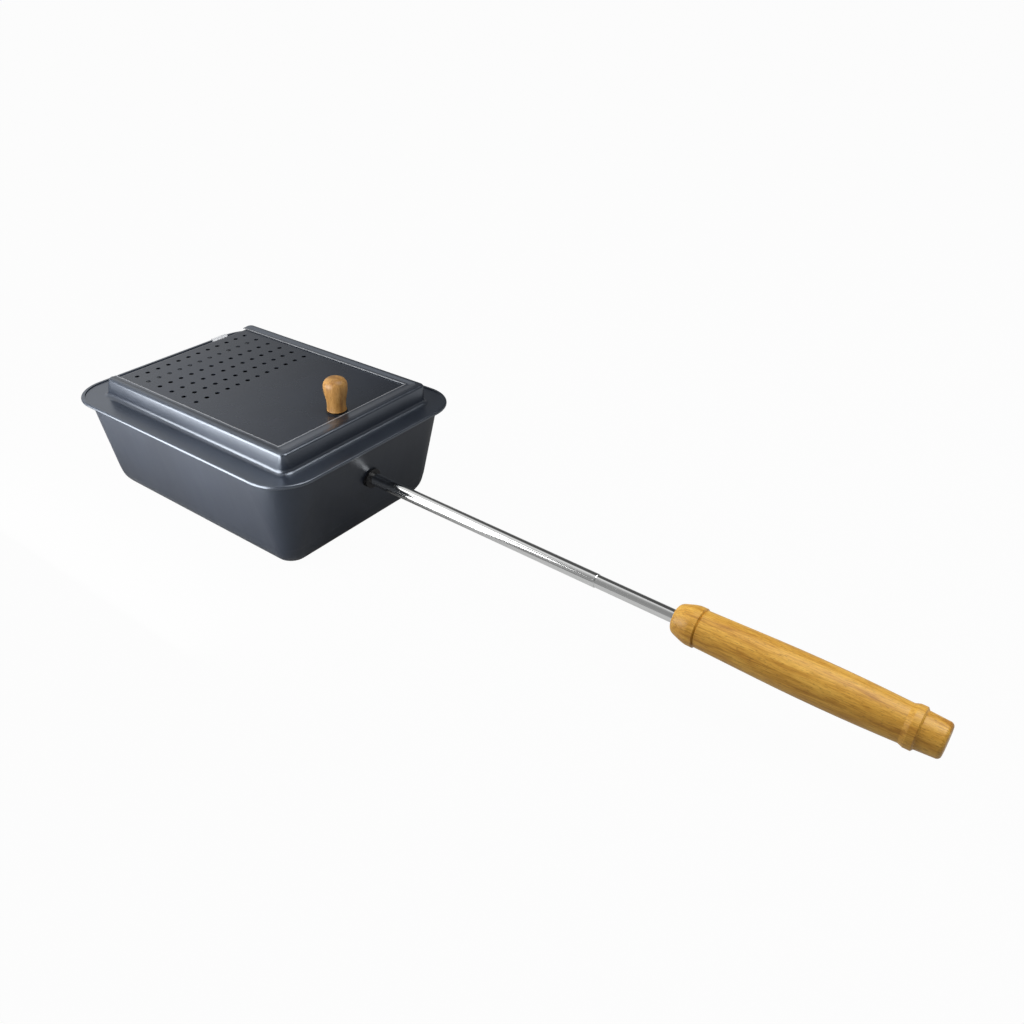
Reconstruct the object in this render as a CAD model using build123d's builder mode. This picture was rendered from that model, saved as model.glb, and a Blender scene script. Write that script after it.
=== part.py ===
# Campfire popcorn popper: a drawn steel pan with a crimped cover frame, a perforated panel that
# slides out of the frame away from the handle, and a telescoping tube handle with a turned grip.
# Millimetres, +Z up. The origin is the centre of the pan's flat base and the handle points to +X.
from build123d import *
import os
from math import cos, radians, sin, sqrt, tan

# Sheet thicknesses
pan_sheet = 0.8
cover_sheet = 0.6
panel_sheet = 0.6
guide_sheet = 0.8

# Pan and its rolled rim
rim_length = 266.5
rim_width = 202.0
rim_corner_radius = 32.4
rim_height = 89.6
roll_width = 3.2
roll_height = 3.2
roll_rise = 0.8
roll_edge_radius = 1.5
wall_clearance = 0.2

# Pan walls: draft, base round and plan corners differ between ends and sides or with height
end_draft = 14.3
side_draft = 12.8
end_base_radius = 19.7
side_base_radius = 22.8
shoulder_height = 22.0
top_corner_radius = 39.8
shoulder_corner_radius = 15.1
base_corner_radius = 11.3

# Raised border of the cover frame, open at the end away from the handle
border_height = 16.0
side_flange = 21.5
front_flange = 19.35
rear_flange = 23.75
side_slope = 1.1
front_slope = 1.1
rear_slope = 7.1
border_foot_corner = 8.5
border_top_corner = 4.5
border_foot_fillet = 3.6
border_top_fillet = 2.4
sill_reach = 10.0

# Stepped recess in the border's top: flat band, sloping riser and lip
side_band = 3.8
side_riser = 3.5
side_lip = 2.5
front_band = 4.8
front_riser = 7.3
front_lip = 2.7
step_drop = 1.0
recess_corner = 2.0
riser_ease = 0.8
opening_corner = 1.2
lip_edge_fillet = 0.25

# Sliding panel
slide_gap = 0.3
panel_rear_reach = 1.0
panel_front_lap = 5.5
panel_end_bend = 5.0
panel_corner_radius = 6.5
panel_travel = 150.0
rim_gap = 0.6
lug_margin = 4.5
lug_width = 7.5
lug_depth = 4.6

# Vent holes
vent_rows = 6
vent_columns = 12
vent_row_pitch = 15.7
vent_column_pitch = 10.6
vent_diameter = 4.0
vent_inset = 54.0

# Guide rails under the border
guide_side_gap = 0.6
guide_leg_reach = 4.1
guide_front_gap = 3.5
guide_end_gap = 0.5
guide_flange = 1.3
stop_tab_reach = 6.5
stop_tab_depth = 3.2

# Pull tab at the panel's turned-down end
tab_inset = 30.5
tab_width = 17.0
tab_sheet = 0.8
tab_rise = 2.3
tab_drop = 0.7
tab_leg = 6.0
tab_lean = 4.2
rivet_radius = 1.2
rivet_head_radius = 2.2
rivet_head_height = 0.8
rivet_spacing = 9.0

# Knob and its fixing
knob_inset = 14.6
knob_height = 27.2
knob_base_radius = 7.85
knob_waist_radius = 7.5
knob_waist_height = 6.5
knob_head_radius = 9.45
knob_head_round = 6.0
knob_base_round = 0.8
knob_washer_radius = 8.5
knob_washer_thickness = 1.0
screw_radius = 2.0
screw_head_radius = 3.9
screw_head_height = 2.4
screw_depth = 16.0
screw_washer_radius = 5.2
screw_washer_thickness = 0.8

# Handle axis: height where it leaves the front wall, and its slope below level
handle_height = 55.4
handle_droop = 1.4
outer_tube_length = 204.0
outer_tube_radius = 5.0
outer_tube_wall = 0.3
mouth_length = 2.5
inner_tube_radius = 4.6
inner_tube_wall = 0.6
running_clearance = 0.04
fixed_clearance = 0.05
neck_depth = 0.45
flare_length = 1.0
flare_depth = 0.05
sleeve_length = 14.0
sleeve_end_gap = 0.2
travel_out = 110.0
travel_in = 58.0
travel_stop_gap = 0.3

# Fixing of the handle to the front wall
collar_radius = 8.0
collar_length = 3.2
inner_collar_radius = 7.5
inner_collar_length = 3.6
lock_washer_radius = 4.6
lock_washer_thickness = 1.2
lock_washer_split = 0.8
bolt_radius = 2.5
bolt_head_radius = 4.4
bolt_head_height = 3.2
bolt_reach = 13.0
bolt_socket_radius = 1.6
bolt_socket_depth = 2.0
bolt_clearance = 0.2
plug_length = 15.0

# Turned grip, measured from its front end along the axis
grip_length = 164.5
grip_nose_radius = 7.0
grip_nose_shoulder = 5.0
grip_nose_shoulder_radius = 11.2
grip_collar_start = 13.0
grip_collar_radius = 13.35
grip_groove_at = 17.6
grip_groove_half_width = 0.7
grip_groove_depth = 1.6
grip_barrel_start_radius = 12.5
grip_barrel_mid = 86.0
grip_barrel_mid_radius = 13.7
grip_bead_start = 142.5
grip_barrel_end_radius = 12.2
grip_bead_rise = 145.6
grip_bead_end = 149.6
grip_bead_radius = 13.35
grip_tail_start = 150.8
grip_tail_start_radius = 11.8
grip_tail_end_radius = 11.1
grip_end_radius = 2.6
grip_bore_depth = 70.0
grip_pin_radius = 1.0
grip_pin_at = 30.0
grip_pin_foot = 3.0
grip_pin_length = 9.2

# Levels built up from the rim
flange_top = rim_height - roll_rise
flange_bottom = flange_top - cover_sheet
pan_flange_bottom = flange_bottom - pan_sheet
border_top = flange_top + border_height
band_bottom = border_top - cover_sheet
lip_top = border_top - step_drop
lip_bottom = lip_top - cover_sheet
panel_top = lip_bottom - slide_gap
panel_bottom = panel_top - panel_sheet
guide_top = panel_bottom - slide_gap
end_wall_low = rim_height + rim_gap

# Border, recess and opening measured in from the rim
border_foot_half_width = rim_width / 2 - side_flange
border_top_half_width = border_foot_half_width - side_slope
border_front_foot = rim_length / 2 - front_flange
border_front_top = border_front_foot - front_slope
border_rear_foot = rear_flange - rim_length / 2
border_rear_top = border_rear_foot + rear_slope
recess_half_width = border_top_half_width - side_band
recess_front = border_front_top - front_band
lip_foot_half_width = recess_half_width - side_riser
lip_foot_front = recess_front - front_riser
opening_half_width = lip_foot_half_width - side_lip
opening_front = lip_foot_front - front_lip

# Panel and guide rails from the recess and the opening
guide_web = recess_half_width
panel_half_width = guide_web - guide_side_gap
panel_front = opening_front + panel_front_lap
panel_rear = border_rear_top - panel_rear_reach
lug_outer = panel_half_width - lug_margin
lug_inner = lug_outer - lug_width
vent_centre_x = panel_rear + vent_inset
knob_x = panel_front - knob_inset
tab_centre_y = panel_half_width - tab_inset
tab_low = end_wall_low + tab_rise
tab_high = panel_top - tab_drop

# Front wall at the handle's height, and the planes that follow the handle and the wall
wall_inset = roll_width + wall_clearance
root_x = rim_length / 2 - wall_inset - (pan_flange_bottom - handle_height) * tan(radians(end_draft))
root_point = Vector(root_x, 0, handle_height)
handle_direction = Vector(cos(radians(handle_droop)), 0, -sin(radians(handle_droop)))
wall_normal = Vector(cos(radians(end_draft)), 0, -sin(radians(end_draft)))
handle_axis = Axis(root_point, handle_direction)
handle_section = Plane(origin=root_point, x_dir=handle_direction, z_dir=(0, -1, 0))
wall_outside = Plane(origin=root_point, x_dir=(0, 1, 0), z_dir=wall_normal)
wall_inside = wall_outside.offset(-pan_sheet)

# Distances along the handle axis from the wall
tube_start = collar_length
tube_end = tube_start + outer_tube_length
bore_radius = outer_tube_radius - outer_tube_wall
grip_front = tube_end + travel_in + travel_stop_gap
sleeve_end = tube_end - mouth_length - travel_stop_gap - travel_out
sleeve_start = sleeve_end - sleeve_length
inner_tube_start = sleeve_start - sleeve_end_gap - flare_length
neck_end = sleeve_end + sleeve_end_gap
neck_radius = inner_tube_radius - neck_depth
grip_bore_radius = inner_tube_radius + fixed_clearance
inner_tube_end = grip_front + grip_bore_depth - travel_stop_gap
inner_collar_start = -inner_collar_length
lock_washer_start = inner_collar_start - lock_washer_thickness
bolt_head_start = lock_washer_start - bolt_head_height
bolt_end = tube_start + bolt_reach

os.makedirs("parts", exist_ok=True)


def write(piece, label):
    piece.part.label = label
    export_step(piece.part, f"parts/{label}.step")


def wall_run_in(height, draft, base_radius, skin):
    # How far the drafted wall, or a skin inside it, has run in at a height, base round included
    slope = radians(draft)
    if height >= base_radius - (base_radius - skin) * sin(slope):
        return (pan_flange_bottom - height) * tan(slope) + skin / cos(slope)
    tangent_height = base_radius * (1 - sin(slope))
    round_centre = (pan_flange_bottom - tangent_height) * tan(slope) + base_radius * cos(slope)
    return round_centre - sqrt((base_radius - skin) ** 2 - (base_radius - height) ** 2)


def tub_outline(height, skin):
    # The tub's plan outline at a height, for the outside (skin 0) or the inside
    if height < shoulder_height:
        corner_start, corner_end = base_corner_radius, shoulder_corner_radius
        share = height / shoulder_height
    else:
        corner_start, corner_end = shoulder_corner_radius, top_corner_radius
        share = (height - shoulder_height) / (pan_flange_bottom - shoulder_height)
    corner = corner_start + (corner_end - corner_start) * share
    run_in_x = wall_inset + wall_run_in(height, end_draft, end_base_radius, skin)
    run_in_y = wall_inset + wall_run_in(height, side_draft, side_base_radius, skin)
    with BuildSketch(Plane.XY.offset(height)) as outline:
        RectangleRounded(rim_length - 2 * run_in_x, rim_width - 2 * run_in_y, corner - skin)
    return outline.sketch


def tub_form(skin, top):
    # The tub as a solid: a smooth loft for the round base, and straight walls above the shoulder
    round_steps = [(shoulder_height - skin) * (1 - cos(radians(angle))) for angle in range(0, 91, 15)]
    with BuildPart() as tub:
        loft([tub_outline(skin + step, skin) for step in round_steps])
        loft([tub_outline(shoulder_height, skin), tub_outline(top, skin)], ruled=True)
    return tub.part


def border_form(shrink, low, high):
    # The raised border as a lofted block with a round top edge, drawn in by shrink on every side
    foot_length = border_front_foot - border_rear_foot - 2 * shrink
    top_length = border_front_top - border_rear_top - 2 * shrink
    with BuildPart() as form:
        with BuildSketch(Plane.XY.offset(low)):
            with Locations(((border_front_foot + border_rear_foot) / 2, 0)):
                RectangleRounded(foot_length, 2 * (border_foot_half_width - shrink),
                                 border_foot_corner - shrink)
        with BuildSketch(Plane.XY.offset(high)):
            with Locations(((border_front_top + border_rear_top) / 2, 0)):
                RectangleRounded(top_length, 2 * (border_top_half_width - shrink),
                                 border_top_corner - shrink)
        loft(ruled=True)
        fillet(form.faces().sort_by(Axis.Z)[-1].edges(), radius=border_top_fillet - shrink)
    return form.part


def recess_form(low, high):
    # The stepped recess with eased sides and front, running out past the far end
    with BuildPart() as form:
        for run in (0, 0.25, 0.5, 0.75, 1):
            eased = run * run * (3 - 2 * run)
            height = low + (high - low) * (run + (eased - run) * riser_ease)
            front = lip_foot_front + (recess_front - lip_foot_front) * run
            half_width = lip_foot_half_width + side_riser * run
            with BuildSketch(Plane.XY.offset(height)):
                with Locations(((front - rim_length) / 2, 0)):
                    RectangleRounded(front + rim_length, 2 * half_width,
                                     recess_corner + side_riser * run)
        loft()
    return form.part


def box_between(low, high, mode=Mode.ADD):
    # An upright block between two corners
    size = [b - a for a, b in zip(low, high)]
    with Locations(tuple((a + b) / 2 for a, b in zip(low, high))):
        Box(*size, mode=mode)


def turned(outline):
    # A solid of revolution about the handle axis from points (distance along it, radius)
    with BuildPart() as piece:
        with BuildSketch(handle_section):
            with BuildLine():
                Polyline(*outline, close=True)
            make_face()
        revolve(axis=handle_axis)
    return piece


# Pan: flange, drafted walls with large corners, and a flat base
pan_outside = tub_form(0, pan_flange_bottom)
pan_cavity = tub_form(pan_sheet, flange_bottom)
with BuildPart() as pan:
    with BuildSketch(Plane.XY.offset(pan_flange_bottom)):
        RectangleRounded(rim_length - 2 * cover_sheet, rim_width - 2 * cover_sheet,
                         rim_corner_radius - cover_sheet)
    extrude(amount=pan_sheet)
    add(pan_outside)
    add(pan_cavity, mode=Mode.SUBTRACT)
    with BuildSketch(Plane(origin=root_point, x_dir=(0, 1, 0), z_dir=handle_direction)):
        Circle(bolt_radius + bolt_clearance)
    extrude(amount=wall_inset * 2, both=True, mode=Mode.SUBTRACT)
write(pan, "pan")

# Rolled edge that grips the pan's flange
with BuildPart() as rolled_edge:
    with BuildSketch(Plane.XY.offset(rim_height - roll_height)):
        RectangleRounded(rim_length, rim_width, rim_corner_radius)
        RectangleRounded(rim_length - 2 * roll_width, rim_width - 2 * roll_width,
                         rim_corner_radius - roll_width, mode=Mode.SUBTRACT)
    extrude(amount=roll_height)
    fillet(rolled_edge.faces().sort_by(Axis.Z)[-1].outer_wire().edges(), radius=roll_edge_radius)
    fillet(rolled_edge.faces().sort_by(Axis.Z)[0].outer_wire().edges(), radius=roll_edge_radius)

# Underside of the recess, which ends with the border at the far end
with BuildPart() as recess_floor:
    add(recess_form(lip_bottom, band_bottom))
    box_between((border_rear_top, -rim_width, flange_top), (rim_length, rim_width, border_top),
                mode=Mode.INTERSECT)

# Cover frame: rolled edge, flange, raised border with a stepped lip, open at the far end
with BuildPart() as cover_frame:
    with BuildSketch(Plane.XY.offset(flange_bottom)):
        RectangleRounded(rim_length - 2 * cover_sheet, rim_width - 2 * cover_sheet,
                         rim_corner_radius - cover_sheet)
    extrude(amount=cover_sheet)
    add(border_form(0, flange_top, border_top))
    foot = cover_frame.edges().filter_by_position(
        Axis.Z, flange_top - 0.01, flange_top + 0.01).filter_by(
        lambda edge: abs(edge.center().Y) < border_foot_half_width + 1
        and abs(edge.center().X) < border_front_foot + 1)
    fillet(foot, radius=border_foot_fillet)
    add(border_form(cover_sheet, flange_bottom, band_bottom), mode=Mode.SUBTRACT)
    box_between((border_rear_foot, -border_top_half_width, flange_bottom),
                (border_rear_foot + sill_reach, border_top_half_width, flange_top))
    add(recess_floor.part)
    add(recess_form(lip_top, border_top), mode=Mode.SUBTRACT)
    with BuildSketch(Plane.XY.offset(rim_height + roll_rise)):
        with Locations(((opening_front - rim_length) / 2, 0)):
            RectangleRounded(opening_front + rim_length, 2 * opening_half_width, opening_corner)
    extrude(amount=border_height, mode=Mode.SUBTRACT)
    opening_edge = cover_frame.edges().filter_by_position(
        Axis.Z, lip_top - 0.01, lip_top + 0.01).filter_by(
        lambda edge: abs(edge.center().Y) < opening_half_width + 0.1
        and edge.center().X < opening_front + 0.1)
    fillet(opening_edge, radius=lip_edge_fillet)
    box_between((-rim_length, -guide_web, rim_height + roll_rise),
                (border_rear_top + cover_sheet, guide_web, lip_bottom), mode=Mode.SUBTRACT)
    add(rolled_edge.part)
    with BuildSketch(Plane.XY.offset(pan_flange_bottom)):
        RectangleRounded(rim_length - 2 * cover_sheet, rim_width - 2 * cover_sheet,
                         rim_corner_radius - cover_sheet)
    extrude(amount=pan_sheet, mode=Mode.SUBTRACT)
write(cover_frame, "cover_frame")

# Sliding panel: flat sheet with a turned-down end, vents, stop lugs and the knob's hole
with BuildPart() as sliding_panel:
    with BuildSketch(Plane.XZ):
        with BuildLine() as panel_path:
            FilletPolyline((panel_rear, end_wall_low), (panel_rear, panel_top),
                           (panel_front, panel_top), radius=panel_end_bend)
            offset(amount=-panel_sheet, side=Side.RIGHT, closed=True)
        make_face()
    extrude(amount=panel_half_width, both=True)
    with BuildSketch(Plane.XY.offset(end_wall_low)):
        with Locations(((panel_front + panel_rear + panel_corner_radius) / 2, 0)):
            Rectangle(panel_front - panel_rear - panel_corner_radius, 2 * panel_half_width)
        with Locations((panel_rear + panel_corner_radius, 0)):
            RectangleRounded(2 * panel_corner_radius, 2 * panel_half_width,
                             panel_corner_radius - 0.01)
    extrude(amount=panel_top - end_wall_low + 1, mode=Mode.INTERSECT)
    for side in (1, -1):
        lug_y = sorted((side * lug_inner, side * lug_outer))
        box_between((panel_front - panel_sheet, lug_y[0], panel_bottom - lug_depth),
                    (panel_front, lug_y[1], panel_bottom))
    with Locations((vent_centre_x, 0, panel_top)):
        with GridLocations(vent_row_pitch, vent_column_pitch, vent_rows, vent_columns):
            Hole(vent_diameter / 2, depth=panel_sheet * 2)
    with Locations((knob_x, 0, panel_top)):
        Hole(screw_radius + bolt_clearance, depth=panel_sheet * 2)
    with BuildSketch(Plane.YZ.offset(panel_rear - 1)):
        with Locations((tab_centre_y, tab_low + tab_leg / 2)):
            with GridLocations(rivet_spacing, 1, 2, 1):
                Circle(rivet_radius)
    extrude(amount=panel_sheet + 2, mode=Mode.SUBTRACT)
write(sliding_panel, "sliding_panel")

# Guide rails welded under the border, each with a stop for the panel's lugs
guide_rear = panel_rear + panel_end_bend + guide_end_gap
guide_front = panel_front - guide_front_gap
stop_tab_front = panel_front - panel_sheet - panel_travel - travel_stop_gap
for name, side in (("guide_rail_left", -1), ("guide_rail_right", 1)):
    profile = [
        (guide_web, band_bottom), (guide_web + guide_flange, band_bottom),
        (guide_web + guide_flange, band_bottom - guide_sheet),
        (guide_web + guide_sheet, band_bottom - guide_sheet),
        (guide_web + guide_sheet, guide_top - guide_sheet),
        (guide_web - guide_leg_reach, guide_top - guide_sheet),
        (guide_web - guide_leg_reach, guide_top), (guide_web, guide_top)]
    stop_y = sorted((side * (guide_web - guide_leg_reach - stop_tab_reach), side * guide_web))
    with BuildPart() as guide_rail:
        with BuildSketch(Plane.YZ.offset(guide_rear)):
            with BuildLine():
                Polyline(*[(side * y, z) for y, z in profile], close=True)
            make_face()
        extrude(amount=guide_front - guide_rear)
        box_between((stop_tab_front - guide_sheet, stop_y[0], guide_top - guide_sheet - stop_tab_depth),
                    (stop_tab_front, stop_y[1], guide_top - guide_sheet))
    write(guide_rail, name)

# Pull tab riveted to the panel's turned-down end
with BuildPart() as pull_tab:
    with BuildSketch(Plane.XZ.offset(-tab_centre_y)):
        with BuildLine():
            FilletPolyline((panel_rear, tab_low), (panel_rear, tab_low + tab_leg),
                           (panel_rear - tab_lean, tab_high), radius=tab_sheet * 2)
            offset(amount=tab_sheet, side=Side.LEFT, closed=True)
        make_face()
    extrude(amount=tab_width / 2, both=True)
    with BuildSketch(Plane.YZ.offset(panel_rear - tab_lean - 5)):
        with Locations((tab_centre_y, tab_low + tab_leg / 2)):
            with GridLocations(rivet_spacing, 1, 2, 1):
                Circle(rivet_radius)
    extrude(amount=tab_lean + 6, mode=Mode.SUBTRACT)
write(pull_tab, "pull_tab")

with BuildPart() as tab_rivets:
    rivet_start = panel_rear - tab_sheet - rivet_head_height
    rivet_length = tab_sheet + panel_sheet + 2 * rivet_head_height
    with BuildSketch(Plane.YZ.offset(rivet_start)):
        with Locations((tab_centre_y, tab_low + tab_leg / 2)):
            with GridLocations(rivet_spacing, 1, 2, 1):
                Circle(rivet_radius)
    extrude(amount=rivet_length)
    for head_at in (rivet_start, rivet_start + rivet_length - rivet_head_height):
        with BuildSketch(Plane.YZ.offset(head_at)):
            with Locations((tab_centre_y, tab_low + tab_leg / 2)):
                with GridLocations(rivet_spacing, 1, 2, 1):
                    Circle(rivet_head_radius)
        extrude(amount=rivet_head_height)
write(tab_rivets, "tab_rivets")

# Turned knob on a washer, held by a screw from under the panel
knob_base = panel_top + knob_washer_thickness
screw_washer_base = panel_bottom - screw_washer_thickness
screw_head_base = screw_washer_base - screw_head_height
screw_top = knob_base + screw_depth
knob_section = Plane(origin=(knob_x, 0, knob_base), x_dir=(1, 0, 0), z_dir=(0, -1, 0))
with BuildPart() as panel_knob:
    with BuildSketch(knob_section):
        with BuildLine():
            Line((screw_radius + fixed_clearance, 0), (knob_base_radius - knob_base_round, 0))
            Line((knob_base_radius - knob_base_round, 0), (knob_base_radius, knob_base_round))
            Spline((knob_base_radius, knob_base_round), (knob_waist_radius, knob_waist_height),
                   (knob_head_radius, knob_height - knob_head_round), tangents=((-0.2, 1), (0, 1)))
            TangentArc((knob_head_radius, knob_height - knob_head_round),
                       (knob_head_radius - knob_head_round, knob_height), tangent=(0, 1))
            Line((knob_head_radius - knob_head_round, knob_height), (0, knob_height))
            Polyline((0, knob_height), (0, screw_depth + slide_gap),
                     (screw_radius + fixed_clearance, screw_depth + slide_gap),
                     (screw_radius + fixed_clearance, 0))
        make_face()
    revolve(axis=Axis((knob_x, 0, 0), (0, 0, 1)))
write(panel_knob, "panel_knob")

with BuildPart() as knob_washer:
    with BuildSketch(Plane.XY.offset(panel_top)):
        with Locations((knob_x, 0)):
            Circle(knob_washer_radius)
            Circle(screw_radius + bolt_clearance, mode=Mode.SUBTRACT)
    extrude(amount=knob_washer_thickness)
write(knob_washer, "knob_washer")

with BuildPart() as screw_washer:
    with BuildSketch(Plane.XY.offset(screw_washer_base)):
        with Locations((knob_x, 0)):
            Circle(screw_washer_radius)
            Circle(screw_radius + bolt_clearance, mode=Mode.SUBTRACT)
    extrude(amount=screw_washer_thickness)
write(screw_washer, "screw_washer")

with BuildPart() as knob_screw:
    with BuildSketch(Plane.XY.offset(screw_head_base)):
        with Locations((knob_x, 0)):
            Circle(screw_head_radius)
    extrude(amount=screw_head_height)
    fillet(knob_screw.faces().sort_by(Axis.Z)[0].edges(), radius=screw_head_height / 2)
    with BuildSketch(Plane.XY.offset(screw_head_base)):
        with Locations((knob_x, 0)):
            Rectangle(screw_head_radius, screw_radius / 2)
            Rectangle(screw_radius / 2, screw_head_radius)
    extrude(amount=screw_head_height / 2, mode=Mode.SUBTRACT)
    with BuildSketch(Plane.XY.offset(screw_head_base + screw_head_height)):
        with Locations((knob_x, 0)):
            Circle(screw_radius)
    extrude(amount=screw_top - screw_head_base - screw_head_height)
write(knob_screw, "knob_screw")

# Wedge washers that bring the sloping wall square to the handle, outside and inside
with BuildPart() as root_collar:
    with BuildSketch(handle_section):
        with BuildLine():
            Polyline((-collar_radius, bolt_radius + bolt_clearance), (-collar_radius, collar_radius),
                     (collar_length, collar_radius), (collar_length, bolt_radius + bolt_clearance),
                     close=True)
        make_face()
    revolve(axis=handle_axis)
    split(bisect_by=wall_outside, keep=Keep.TOP)
write(root_collar, "root_collar")

with BuildPart() as inner_washer:
    with BuildSketch(handle_section):
        with BuildLine():
            Polyline((inner_collar_start, bolt_radius + bolt_clearance),
                     (inner_collar_start, inner_collar_radius),
                     (collar_radius, inner_collar_radius),
                     (collar_radius, bolt_radius + bolt_clearance), close=True)
        make_face()
    revolve(axis=handle_axis)
    split(bisect_by=wall_inside, keep=Keep.BOTTOM)
write(inner_washer, "inner_washer")

with BuildPart() as lock_washer:
    with BuildSketch(Plane(origin=root_point + handle_direction * lock_washer_start,
                           x_dir=(0, 1, 0), z_dir=handle_direction)):
        Circle(lock_washer_radius)
        Circle(bolt_radius + bolt_clearance, mode=Mode.SUBTRACT)
        with Locations((0, -lock_washer_radius)):
            Rectangle(lock_washer_split, 2 * lock_washer_radius, mode=Mode.SUBTRACT)
    extrude(amount=lock_washer_thickness)
write(lock_washer, "lock_washer")

# Bolt from inside the pan into the plug in the tube
with BuildPart() as handle_bolt:
    with BuildSketch(Plane(origin=root_point + handle_direction * bolt_head_start,
                           x_dir=(0, 1, 0), z_dir=handle_direction)):
        Circle(bolt_head_radius)
    extrude(amount=bolt_head_height)
    fillet(handle_bolt.edges().sort_by(handle_axis)[0], radius=bolt_head_height / 4)
    with BuildSketch(Plane(origin=root_point + handle_direction * bolt_head_start,
                           x_dir=(0, 1, 0), z_dir=handle_direction)):
        RegularPolygon(bolt_socket_radius, 6)
    extrude(amount=bolt_socket_depth, mode=Mode.SUBTRACT)
    with BuildSketch(Plane(origin=root_point + handle_direction * lock_washer_start,
                           x_dir=(0, 1, 0), z_dir=handle_direction)):
        Circle(bolt_radius)
    extrude(amount=bolt_end - lock_washer_start)
write(handle_bolt, "handle_bolt")

tube_plug = turned([
    (tube_start, bolt_radius + fixed_clearance), (tube_start, bore_radius - fixed_clearance),
    (tube_start + plug_length, bore_radius - fixed_clearance),
    (tube_start + plug_length, bolt_radius + fixed_clearance)])
write(tube_plug, "tube_plug")

# Outer tube with a rolled-in mouth
mouth_radius = inner_tube_radius + running_clearance
outer_tube = turned([
    (tube_start, bore_radius), (tube_start, outer_tube_radius),
    (tube_end - outer_tube_wall, outer_tube_radius),
    (tube_end, outer_tube_radius - outer_tube_wall / 2), (tube_end, mouth_radius),
    (tube_end - mouth_length, mouth_radius), (tube_end - mouth_length, bore_radius)])
write(outer_tube, "outer_tube")

# Inner tube, drawn in at its inner end where the sleeve sits
tube_bore = inner_tube_radius - inner_tube_wall
neck_bore = neck_radius - inner_tube_wall
inner_tube_outline = [
    (inner_tube_start, neck_bore), (inner_tube_start, inner_tube_radius - flare_depth),
    (inner_tube_start + flare_length, inner_tube_radius - flare_depth),
    (inner_tube_start + flare_length, neck_radius), (neck_end, neck_radius),
    (neck_end, inner_tube_radius), (inner_tube_end, inner_tube_radius),
    (inner_tube_end, tube_bore), (neck_end + inner_tube_wall, tube_bore),
    (neck_end, neck_bore)]
pin_plane = Plane(origin=root_point + handle_direction * (grip_front + grip_pin_at),
                  x_dir=handle_direction, z_dir=(sin(radians(-handle_droop)), 0, -cos(radians(handle_droop))))
with BuildPart() as inner_tube:
    add(turned(inner_tube_outline).part)
    with BuildSketch(pin_plane):
        Circle(grip_pin_radius + fixed_clearance)
    extrude(amount=grip_barrel_mid_radius, mode=Mode.SUBTRACT)
write(inner_tube, "inner_tube")

friction_sleeve = turned([
    (sleeve_start, neck_radius + running_clearance), (sleeve_start, bore_radius - running_clearance),
    (sleeve_end, bore_radius - running_clearance), (sleeve_end, neck_radius + running_clearance)])
write(friction_sleeve, "friction_sleeve")

# Turned grip, bored for the tube, with a collar, a shallow groove, a barrel and a bead
with BuildPart() as grip:
    with BuildSketch(handle_section):
        with BuildLine():
            Line((grip_front, grip_bore_radius), (grip_front, grip_nose_radius))
            Spline((grip_front, grip_nose_radius),
                   (grip_front + grip_nose_shoulder, grip_nose_shoulder_radius),
                   (grip_front + grip_collar_start, grip_collar_radius),
                   tangents=((0.15, 1), (1, 0.08)))
            groove_start = grip_front + grip_groove_at - grip_groove_half_width
            barrel_start = grip_front + grip_groove_at + grip_groove_half_width
            Polyline((grip_front + grip_collar_start, grip_collar_radius),
                     (groove_start, grip_collar_radius),
                     (grip_front + grip_groove_at, grip_collar_radius - grip_groove_depth),
                     (barrel_start, grip_barrel_start_radius))
            Spline((barrel_start, grip_barrel_start_radius),
                   (grip_front + grip_barrel_mid, grip_barrel_mid_radius),
                   (grip_front + grip_bead_start, grip_barrel_end_radius),
                   tangents=((1, 0.02), (1, -0.05)))
            tail_end = grip_front + grip_length
            Polyline((grip_front + grip_bead_start, grip_barrel_end_radius),
                     (grip_front + grip_bead_rise, grip_bead_radius),
                     (grip_front + grip_bead_end, grip_bead_radius),
                     (grip_front + grip_tail_start, grip_tail_start_radius),
                     (tail_end - grip_end_radius, grip_tail_end_radius))
            RadiusArc((tail_end - grip_end_radius, grip_tail_end_radius),
                      (tail_end, grip_tail_end_radius - grip_end_radius), grip_end_radius)
            Polyline((tail_end, grip_tail_end_radius - grip_end_radius), (tail_end, 0),
                     (grip_front + grip_bore_depth, 0),
                     (grip_front + grip_bore_depth, grip_bore_radius),
                     (grip_front, grip_bore_radius))
        make_face()
    revolve(axis=handle_axis)
    with BuildSketch(pin_plane):
        Circle(grip_pin_radius + fixed_clearance)
    extrude(amount=2 * grip_barrel_mid_radius, mode=Mode.SUBTRACT)
write(grip, "grip")

# Brad that holds the grip on the tube, driven in from below
with BuildPart() as grip_pin:
    with BuildSketch(pin_plane.offset(grip_pin_foot)):
        Circle(grip_pin_radius)
    extrude(amount=grip_pin_length)
write(grip_pin, "grip_pin")
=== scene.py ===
from math import pi

import bpy
from mathutils import Euler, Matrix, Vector

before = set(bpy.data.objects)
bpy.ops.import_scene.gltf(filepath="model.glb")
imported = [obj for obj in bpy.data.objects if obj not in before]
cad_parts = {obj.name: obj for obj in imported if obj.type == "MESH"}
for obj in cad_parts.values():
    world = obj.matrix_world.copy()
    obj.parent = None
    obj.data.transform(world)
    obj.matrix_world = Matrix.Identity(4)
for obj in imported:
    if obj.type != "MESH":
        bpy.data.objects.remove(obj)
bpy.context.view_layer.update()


# Node helpers

def material(name):
    mat = bpy.data.materials.new(name)
    mat.use_nodes = True
    tree = mat.node_tree
    return mat, tree.nodes, tree.links, tree.nodes["Principled BSDF"]


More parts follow.
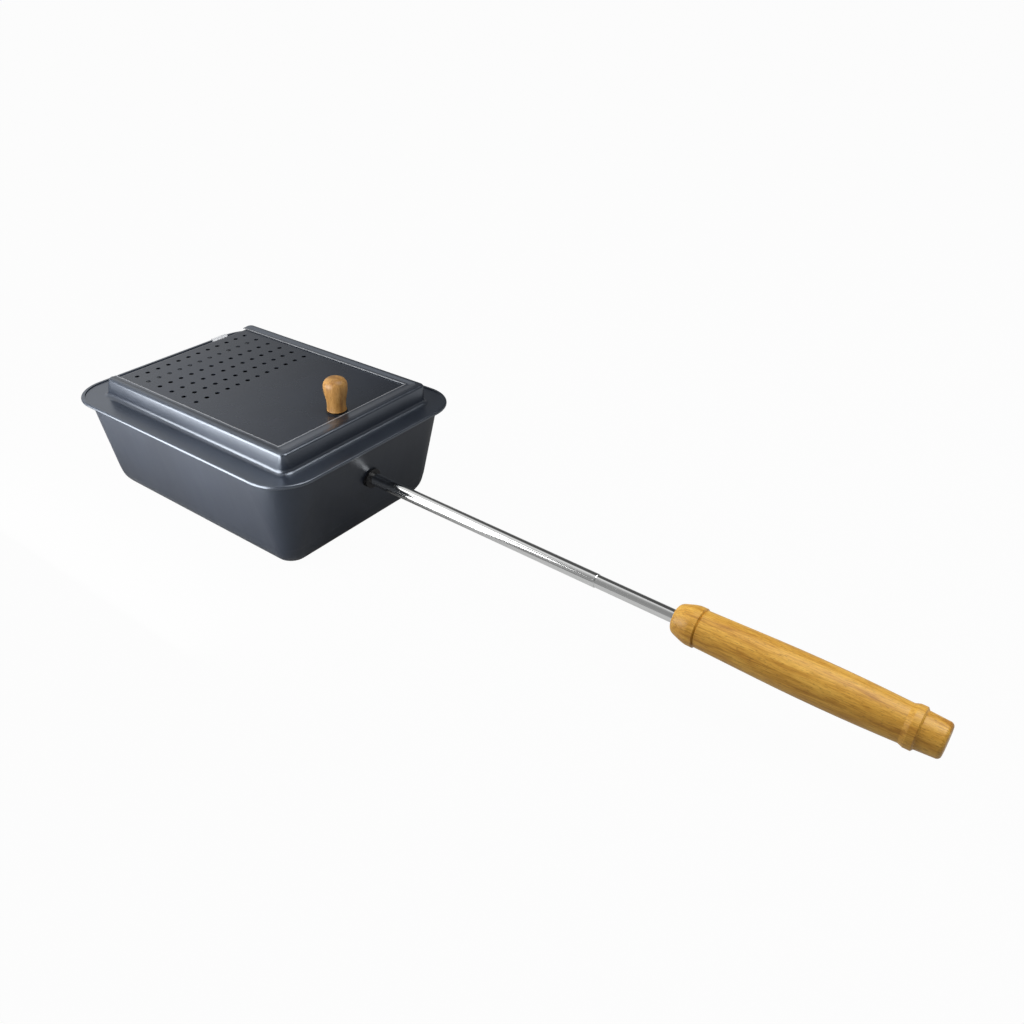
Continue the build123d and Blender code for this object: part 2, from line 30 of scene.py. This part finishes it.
def noise(nodes, links, vector, scale, detail=3.0, rough=0.5, distortion=0.0):
    node = nodes.new("ShaderNodeTexNoise")
    node.inputs["Scale"].default_value = scale
    node.inputs["Detail"].default_value = detail
    node.inputs["Roughness"].default_value = rough
    node.inputs["Distortion"].default_value = distortion
    links.new(vector, node.inputs["Vector"])
    return node.outputs["Fac"]


def stretched(nodes, links, vector, scale):
    node = nodes.new("ShaderNodeMapping")
    node.inputs["Scale"].default_value = scale
    links.new(vector, node.inputs["Vector"])
    return node.outputs["Vector"]


def ramp(nodes, links, value, stops):
    node = nodes.new("ShaderNodeValToRGB")
    elements = node.color_ramp.elements
    while len(elements) < len(stops):
        elements.new(0.5)
    for element, (position, colour) in zip(elements, stops):
        element.position = position
        element.color = (*colour, 1.0)
    links.new(value, node.inputs["Fac"])
    return node.outputs["Color"]


def grey_ramp(nodes, links, value, stops):
    return ramp(nodes, links, value, [(position, (level, level, level)) for position, level in stops])


def remap(nodes, links, value, low, high, to_low, to_high):
    node = nodes.new("ShaderNodeMapRange")
    node.inputs["From Min"].default_value = low
    node.inputs["From Max"].default_value = high
    node.inputs["To Min"].default_value = to_low
    node.inputs["To Max"].default_value = to_high
    links.new(value, node.inputs["Value"])
    return node.outputs["Result"]


def calc(nodes, links, operation, first, second):
    node = nodes.new("ShaderNodeMath")
    node.operation = operation
    for socket, value in zip(node.inputs, (first, second)):
        if isinstance(value, (int, float)):
            socket.default_value = value
        else:
            links.new(value, socket)
    return node.outputs["Value"]


def mix(nodes, links, factor, first, second, blend="MIX"):
    node = nodes.new("ShaderNodeMixRGB")
    node.blend_type = blend
    for socket, value in zip(node.inputs, (factor, first, second)):
        if isinstance(value, (int, float)):
            socket.default_value = value
        elif isinstance(value, tuple):
            socket.default_value = (*value, 1.0)
        else:
            links.new(value, socket)
    return node.outputs["Color"]


def bump(nodes, links, height, distance, strength=1.0, normal=None):
    node = nodes.new("ShaderNodeBump")
    node.inputs["Strength"].default_value = strength
    node.inputs["Distance"].default_value = distance
    links.new(height, node.inputs["Height"])
    if normal is not None:
        links.new(normal, node.inputs["Normal"])
    return node.outputs["Normal"]


def place(nodes):
    return nodes.new("ShaderNodeTexCoord").outputs["Object"]


# Materials: colours are linear, lengths are in metres

COOL = (0.80, 0.88, 1.0)
CLOUD_PALE = 1.18
CLOUD_DEEP = 0.84
PEEL_HEIGHT = 0.000025
STREAK_DARK = 0.9
STREAK_HEIGHT = 0.000004
FIBRE_SHADE = (0.66, 0.58, 0.46)
FIBRE_HEIGHT = 0.00006
RING_HEIGHT = 0.00004
WOOD_LIFT = (1.0, 0.92, 0.8)
WHITE = (1.0, 1.0, 1.0)

# Painted highlight along the cover frame's inner lip: where the line runs, how wide it is and its
# pale colour
LIP_HALF_WIDTH = 0.0686
LIP_FRONT = 0.098
LIP_FLOOR = 0.1
LIP_HIGHLIGHT_WIDTH = 0.0011
LIP_HIGHLIGHT_CORE = LIP_HIGHLIGHT_WIDTH * 0.35
LIP_HIGHLIGHT_EDGE = LIP_HIGHLIGHT_WIDTH * 0.75
LIP_HIGHLIGHT_COLOUR = (0.21, 0.215, 0.225)


def coated_steel(name, colour, roughness, ior, ripple, tint=WHITE):
    # Dark coating on drawn sheet: cloudy tint, fine orange peel and a slow upright ripple
    mat, nodes, links, shader = material(name)
    where = place(nodes)
    cloud = noise(nodes, links, where, 14.0, 3.0, 0.6)
    peel = noise(nodes, links, where, 1500.0, 2.0, 0.55)
    wave = noise(nodes, links, stretched(nodes, links, where, (1.0, 1.0, 0.12)), 34.0, 2.0, 0.45)
    pale = tuple(channel * CLOUD_PALE for channel in colour)
    deep = tuple(channel * CLOUD_DEEP for channel in colour)
    links.new(ramp(nodes, links, cloud, [(0.3, deep), (0.7, pale)]), shader.inputs["Base Color"])
    links.new(remap(nodes, links, cloud, 0.25, 0.75, roughness * 0.9, roughness * 1.1),
              shader.inputs["Roughness"])
    rippled = bump(nodes, links, wave, ripple)
    links.new(bump(nodes, links, peel, PEEL_HEIGHT, 0.35, rippled), shader.inputs["Normal"])
    shader.inputs["IOR"].default_value = ior
    shader.inputs["Specular Tint"].default_value = (*tint, 1)
    return mat


def bright_metal(name, colour, roughness, streak, direction=(1, 1, 1)):
    # Bare or plated metal with drawn streaks
    mat, nodes, links, shader = material(name)
    line = noise(nodes, links, stretched(nodes, links, place(nodes), direction), streak, 3.0, 0.6)
    smudge = noise(nodes, links, place(nodes), 40.0, 4.0, 0.6)
    dark = tuple(channel * STREAK_DARK for channel in colour)
    links.new(ramp(nodes, links, line, [(0.3, dark), (0.7, colour)]), shader.inputs["Base Color"])
    links.new(remap(nodes, links, smudge, 0.3, 0.7, roughness * 0.8, roughness * 1.25),
              shader.inputs["Roughness"])
    links.new(bump(nodes, links, line, STREAK_HEIGHT, 0.3), shader.inputs["Normal"])
    shader.inputs["Metallic"].default_value = 1.0
    return mat


def beech(name, pale, middle, deep, fleck, roughness, along):
    # Turned beech: slow figure along the grain, fine fibres, short ray flecks and tool rings
    mat, nodes, links, shader = material(name)
    where = place(nodes)
    slow = tuple(0.1 if axis == along else 1.0 for axis in "XYZ")
    fine = tuple(0.07 if axis == along else 1.0 for axis in "XYZ")
    short = tuple(0.16 if axis == along else 1.0 for axis in "XYZ")
    turned = tuple(1.0 if axis == along else 0.02 for axis in "XYZ")
    figure = noise(nodes, links, stretched(nodes, links, where, slow), 210.0, 4.0, 0.55, 0.5)
    fibre = noise(nodes, links, stretched(nodes, links, where, fine), 1200.0, 3.0, 0.7)
    dash = noise(nodes, links, stretched(nodes, links, where, short), 2100.0, 1.0, 0.5)
    ring = noise(nodes, links, stretched(nodes, links, where, turned), 900.0, 2.0, 0.5)
    body = ramp(nodes, links, figure, [(0.3, deep), (0.44, middle), (0.62, pale)])
    fibred = mix(nodes, links, 1.0, body,
                 ramp(nodes, links, fibre, [(0.34, FIBRE_SHADE), (0.6, WHITE)]),
                 "MULTIPLY")
    marks = remap(nodes, links, dash, 0.62, 0.7, 0.0, 0.5)
    lifted = mix(nodes, links, 0.35, fibred, WOOD_LIFT, "SOFT_LIGHT")
    links.new(mix(nodes, links, marks, lifted, fleck), shader.inputs["Base Color"])
    links.new(remap(nodes, links, fibre, 0.3, 0.7, roughness * 0.85, roughness * 1.2),
              shader.inputs["Roughness"])
    grained = bump(nodes, links, fibre, FIBRE_HEIGHT, 0.5)
    links.new(bump(nodes, links, ring, RING_HEIGHT, 0.35, grained), shader.inputs["Normal"])
    shader.inputs["IOR"].default_value = 1.45
    return mat


def paint_lip_highlight(mat):
    # Painted highlight: a pale line painted along the frame's inner edge beside the panel, standing
    # in for light caught on the lip's rounded edge
    nodes, links = mat.node_tree.nodes, mat.node_tree.links
    colour = nodes["Principled BSDF"].inputs["Base Color"]
    spot = nodes.new("ShaderNodeSeparateXYZ")
    links.new(place(nodes), spot.inputs["Vector"])
    off_centre = calc(nodes, links, "ABSOLUTE", spot.outputs["Y"], 0.0)
    out_of_side = calc(nodes, links, "SUBTRACT", off_centre, LIP_HALF_WIDTH)
    out_of_front = calc(nodes, links, "SUBTRACT", spot.outputs["X"], LIP_FRONT)
    outside = calc(nodes, links, "MAXIMUM", out_of_side, out_of_front)
    from_line = calc(nodes, links, "SUBTRACT", outside, LIP_HIGHLIGHT_WIDTH / 2)
    off_line = calc(nodes, links, "ABSOLUTE", from_line, 0.0)
    on_line = remap(nodes, links, off_line, LIP_HIGHLIGHT_CORE, LIP_HIGHLIGHT_EDGE, 1.0, 0.0)
    high = calc(nodes, links, "GREATER_THAN", spot.outputs["Z"], LIP_FLOOR)
    highlit = calc(nodes, links, "MULTIPLY", on_line, high)
    coat = colour.links[0].from_socket
    links.new(mix(nodes, links, highlit, coat, LIP_HIGHLIGHT_COLOUR), colour)


PAN_COAT = coated_steel("pan_coat_look", (0.009, 0.012, 0.019), 0.34, 1.65, 0.0006, COOL)
COVER_COAT = coated_steel("cover_coat_look", (0.010, 0.0135, 0.021), 0.31, 2.1, 0.0001, COOL)
PANEL_COAT = coated_steel("panel_coat_look", (0.009, 0.012, 0.019), 0.28, 1.62, 0.0001, COOL)
# paints a pale highlight line along the cover frame's inner lip
paint_lip_highlight(COVER_COAT)
RAIL_COAT = coated_steel("rail_coat_look", (0.010, 0.0135, 0.022), 0.30, 2.2, 0.0001, COOL)
CHROME = bright_metal("tube_chrome_look", (0.78, 0.785, 0.78), 0.11, 300.0, (0.02, 1, 1))
BRIGHT = bright_metal("bright_steel_look", (0.56, 0.57, 0.59), 0.34, 900.0)
ALLOY = bright_metal("plug_alloy_look", (0.7, 0.7, 0.72), 0.35, 600.0)
BLACK = coated_steel("black_washer_look", (0.006, 0.006, 0.007), 0.5, 1.4, 0.00002)
NYLON = coated_steel("sleeve_nylon_look", (0.6, 0.59, 0.55), 0.5, 1.5, 0.00002)
GRIP_WOOD = beech("grip_wood_look", (0.74, 0.40, 0.07), (0.61, 0.305, 0.043), (0.42, 0.185, 0.022),
                  (0.21, 0.085, 0.012), 0.42, "X")
KNOB_WOOD = beech("knob_wood_look", (0.37, 0.205, 0.066), (0.28, 0.145, 0.04), (0.165, 0.075, 0.018),
                  (0.12, 0.05, 0.012), 0.42, "Z")

LOOKS = {
    "pan": PAN_COAT, "cover_frame": COVER_COAT, "sliding_panel": PANEL_COAT,
    "guide_rail_left": RAIL_COAT, "guide_rail_right": RAIL_COAT,
    "pull_tab": BRIGHT, "tab_rivets": BRIGHT, "knob_screw": BRIGHT, "screw_washer": BRIGHT,
    "inner_washer": BRIGHT, "lock_washer": BRIGHT, "handle_bolt": BRIGHT, "grip_pin": BRIGHT,
    "knob_washer": BLACK, "root_collar": BLACK, "tube_plug": ALLOY,
    "outer_tube": CHROME, "inner_tube": CHROME, "friction_sleeve": NYLON,
    "grip": GRIP_WOOD, "panel_knob": KNOB_WOOD,
}


def dress(node_name, look):
    node_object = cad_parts[node_name]
    if not node_object.material_slots:
        node_object.data.materials.append(look)
    for slot in node_object.material_slots:
        slot.material = look


for node_name, look in LOOKS.items():
    dress(node_name, look)


# Stage, camera and light

FLOOR_SIZE = 60.0
FLOOR_DROP = 0.0004
FLOOR_COLOUR = (0.24, 0.24, 0.24)
FLOOR_ROUGHNESS = 0.9
FLOOR_WHITE_TO_CAMERA = 0.97
FLOOR_WHITE_TO_GLOSS = 0.5
GLOSS_WHITE_FROM_X = 0.14
GLOSS_WHITE_FULL_X = 0.24

CAMERA_SPOT = (0.582871, -0.464122, 0.433054)
CAMERA_TURN = (1.030489, 0.007467, 0.689121)
CAMERA_SENSOR = 36.0
CAMERA_LENS = 33.7788
CAMERA_SHIFT = (0.065803, -0.020496)
CAMERA_CLIP = 0.01

SOFTBOXES = (
    ("low_softbox", (-0.055, -0.2625, 0.1655), (-0.055, 0.6505, 0.5725), (0.36, 0.356), 3.3),
    ("left_softbox", (-0.63, -0.58, 1.32), (0.2, 0.0, 0.05), (0.5, 0.38), 1.6),
    ("top_softbox", (0.75, 0.3, 1.5), (0.4, 0.0, 0.1), (1.1, 1.1), 19.0),
)

# The world's light by direction. WORLD_AXIS points over the floor to its bright side, WORLD_ROUND
# gives the level by the turn from it, where 0.5 is the axis, and WORLD_SKIRTING adds a band of light
# just above the horizon, by height.
WORLD_AXIS = (-0.94, 0.342)
WORLD_ROUND = (
    (0.0, 0.11), (0.424, 0.09), (0.472, 0.92), (0.55, 0.85), (0.70, 0.36), (1.0, 0.11),
)
WORLD_SKIRTING = ((0.10, 0.42), (0.17, 0.0))
WORLD_STRENGTH = 1.0


def stage_floor():
    bpy.ops.mesh.primitive_plane_add(size=FLOOR_SIZE, location=(0, 0, -FLOOR_DROP))
    floor = bpy.context.object
    floor.name = "floor"
    mat, nodes, links, shader = material("floor_look")
    shader.inputs["Base Color"].default_value = (*FLOOR_COLOUR, 1)
    shader.inputs["Roughness"].default_value = FLOOR_ROUGHNESS
    ray = nodes.new("ShaderNodeLightPath")
    glow = nodes.new("ShaderNodeEmission")
    spot = nodes.new("ShaderNodeSeparateXYZ")
    links.new(nodes.new("ShaderNodeNewGeometry").outputs["Position"], spot.inputs["Vector"])
    under_handle = remap(nodes, links, spot.outputs["X"], GLOSS_WHITE_FROM_X, GLOSS_WHITE_FULL_X,
                         0.0, FLOOR_WHITE_TO_GLOSS)
    seen = calc(nodes, links, "MAXIMUM", ray.outputs["Is Camera Ray"],
                ray.outputs["Is Transmission Ray"])
    to_camera = calc(nodes, links, "MULTIPLY", seen, FLOOR_WHITE_TO_CAMERA)
    to_gloss = calc(nodes, links, "MULTIPLY", ray.outputs["Is Glossy Ray"], under_handle)
    blend = nodes.new("ShaderNodeMixShader")
    links.new(calc(nodes, links, "MAXIMUM", to_camera, to_gloss), blend.inputs["Fac"])
    links.new(shader.outputs["BSDF"], blend.inputs[1])
    links.new(glow.outputs["Emission"], blend.inputs[2])
    links.new(blend.outputs["Shader"], nodes["Material Output"].inputs["Surface"])
    floor.data.materials.append(mat)


def stage_camera():
    data = bpy.data.cameras.new("camera")
    camera = bpy.data.objects.new("camera", data)
    bpy.context.collection.objects.link(camera)
    camera.location = CAMERA_SPOT
    camera.rotation_euler = Euler(CAMERA_TURN, "XYZ")
    data.sensor_width = CAMERA_SENSOR
    data.lens = CAMERA_LENS
    data.shift_x, data.shift_y = CAMERA_SHIFT
    data.clip_start = CAMERA_CLIP
    bpy.context.scene.camera = camera


def softbox(name, spot, target, size, energy):
    data = bpy.data.lights.new(name, "AREA")
    data.shape = "RECTANGLE"
    data.size, data.size_y = size
    data.energy = energy
    lamp = bpy.data.objects.new(name, data)
    bpy.context.collection.objects.link(lamp)
    lamp.location = spot
    lamp.rotation_euler = (Vector(target) - Vector(spot)).to_track_quat("-Z", "Y").to_euler()
    lamp.visible_camera = False


def studio_world():
    # White to the camera; to the object a soft studio, pale behind on the left and dim on the right
    world = bpy.data.worlds.new("world")
    bpy.context.scene.world = world
    world.use_nodes = True
    nodes, links = world.node_tree.nodes, world.node_tree.links
    ray = nodes.new("ShaderNodeLightPath")
    direction = nodes.new("ShaderNodeSeparateXYZ")
    links.new(nodes.new("ShaderNodeTexCoord").outputs["Generated"], direction.inputs["Vector"])
    axis_x, axis_y = WORLD_AXIS
    along = calc(nodes, links, "ADD",
                 calc(nodes, links, "MULTIPLY", direction.outputs["X"], axis_x),
                 calc(nodes, links, "MULTIPLY", direction.outputs["Y"], axis_y))
    across = calc(nodes, links, "ADD",
                  calc(nodes, links, "MULTIPLY", direction.outputs["X"], -axis_y),
                  calc(nodes, links, "MULTIPLY", direction.outputs["Y"], axis_x))
    turn = remap(nodes, links, calc(nodes, links, "ARCTAN2", across, along), -pi, pi, 0.0, 1.0)
    studio = grey_ramp(nodes, links, turn, WORLD_ROUND)
    skirting = grey_ramp(nodes, links, direction.outputs["Z"], WORLD_SKIRTING)
    studio = mix(nodes, links, 1.0, studio, skirting, "LIGHTEN")
    links.new(mix(nodes, links, ray.outputs["Is Camera Ray"], studio, WHITE),
              nodes["Background"].inputs["Color"])
    nodes["Background"].inputs["Strength"].default_value = WORLD_STRENGTH


stage_floor()
stage_camera()
for softbox_row in SOFTBOXES:
    softbox(*softbox_row)
studio_world()
bpy.context.scene.view_settings.view_transform = "Standard"
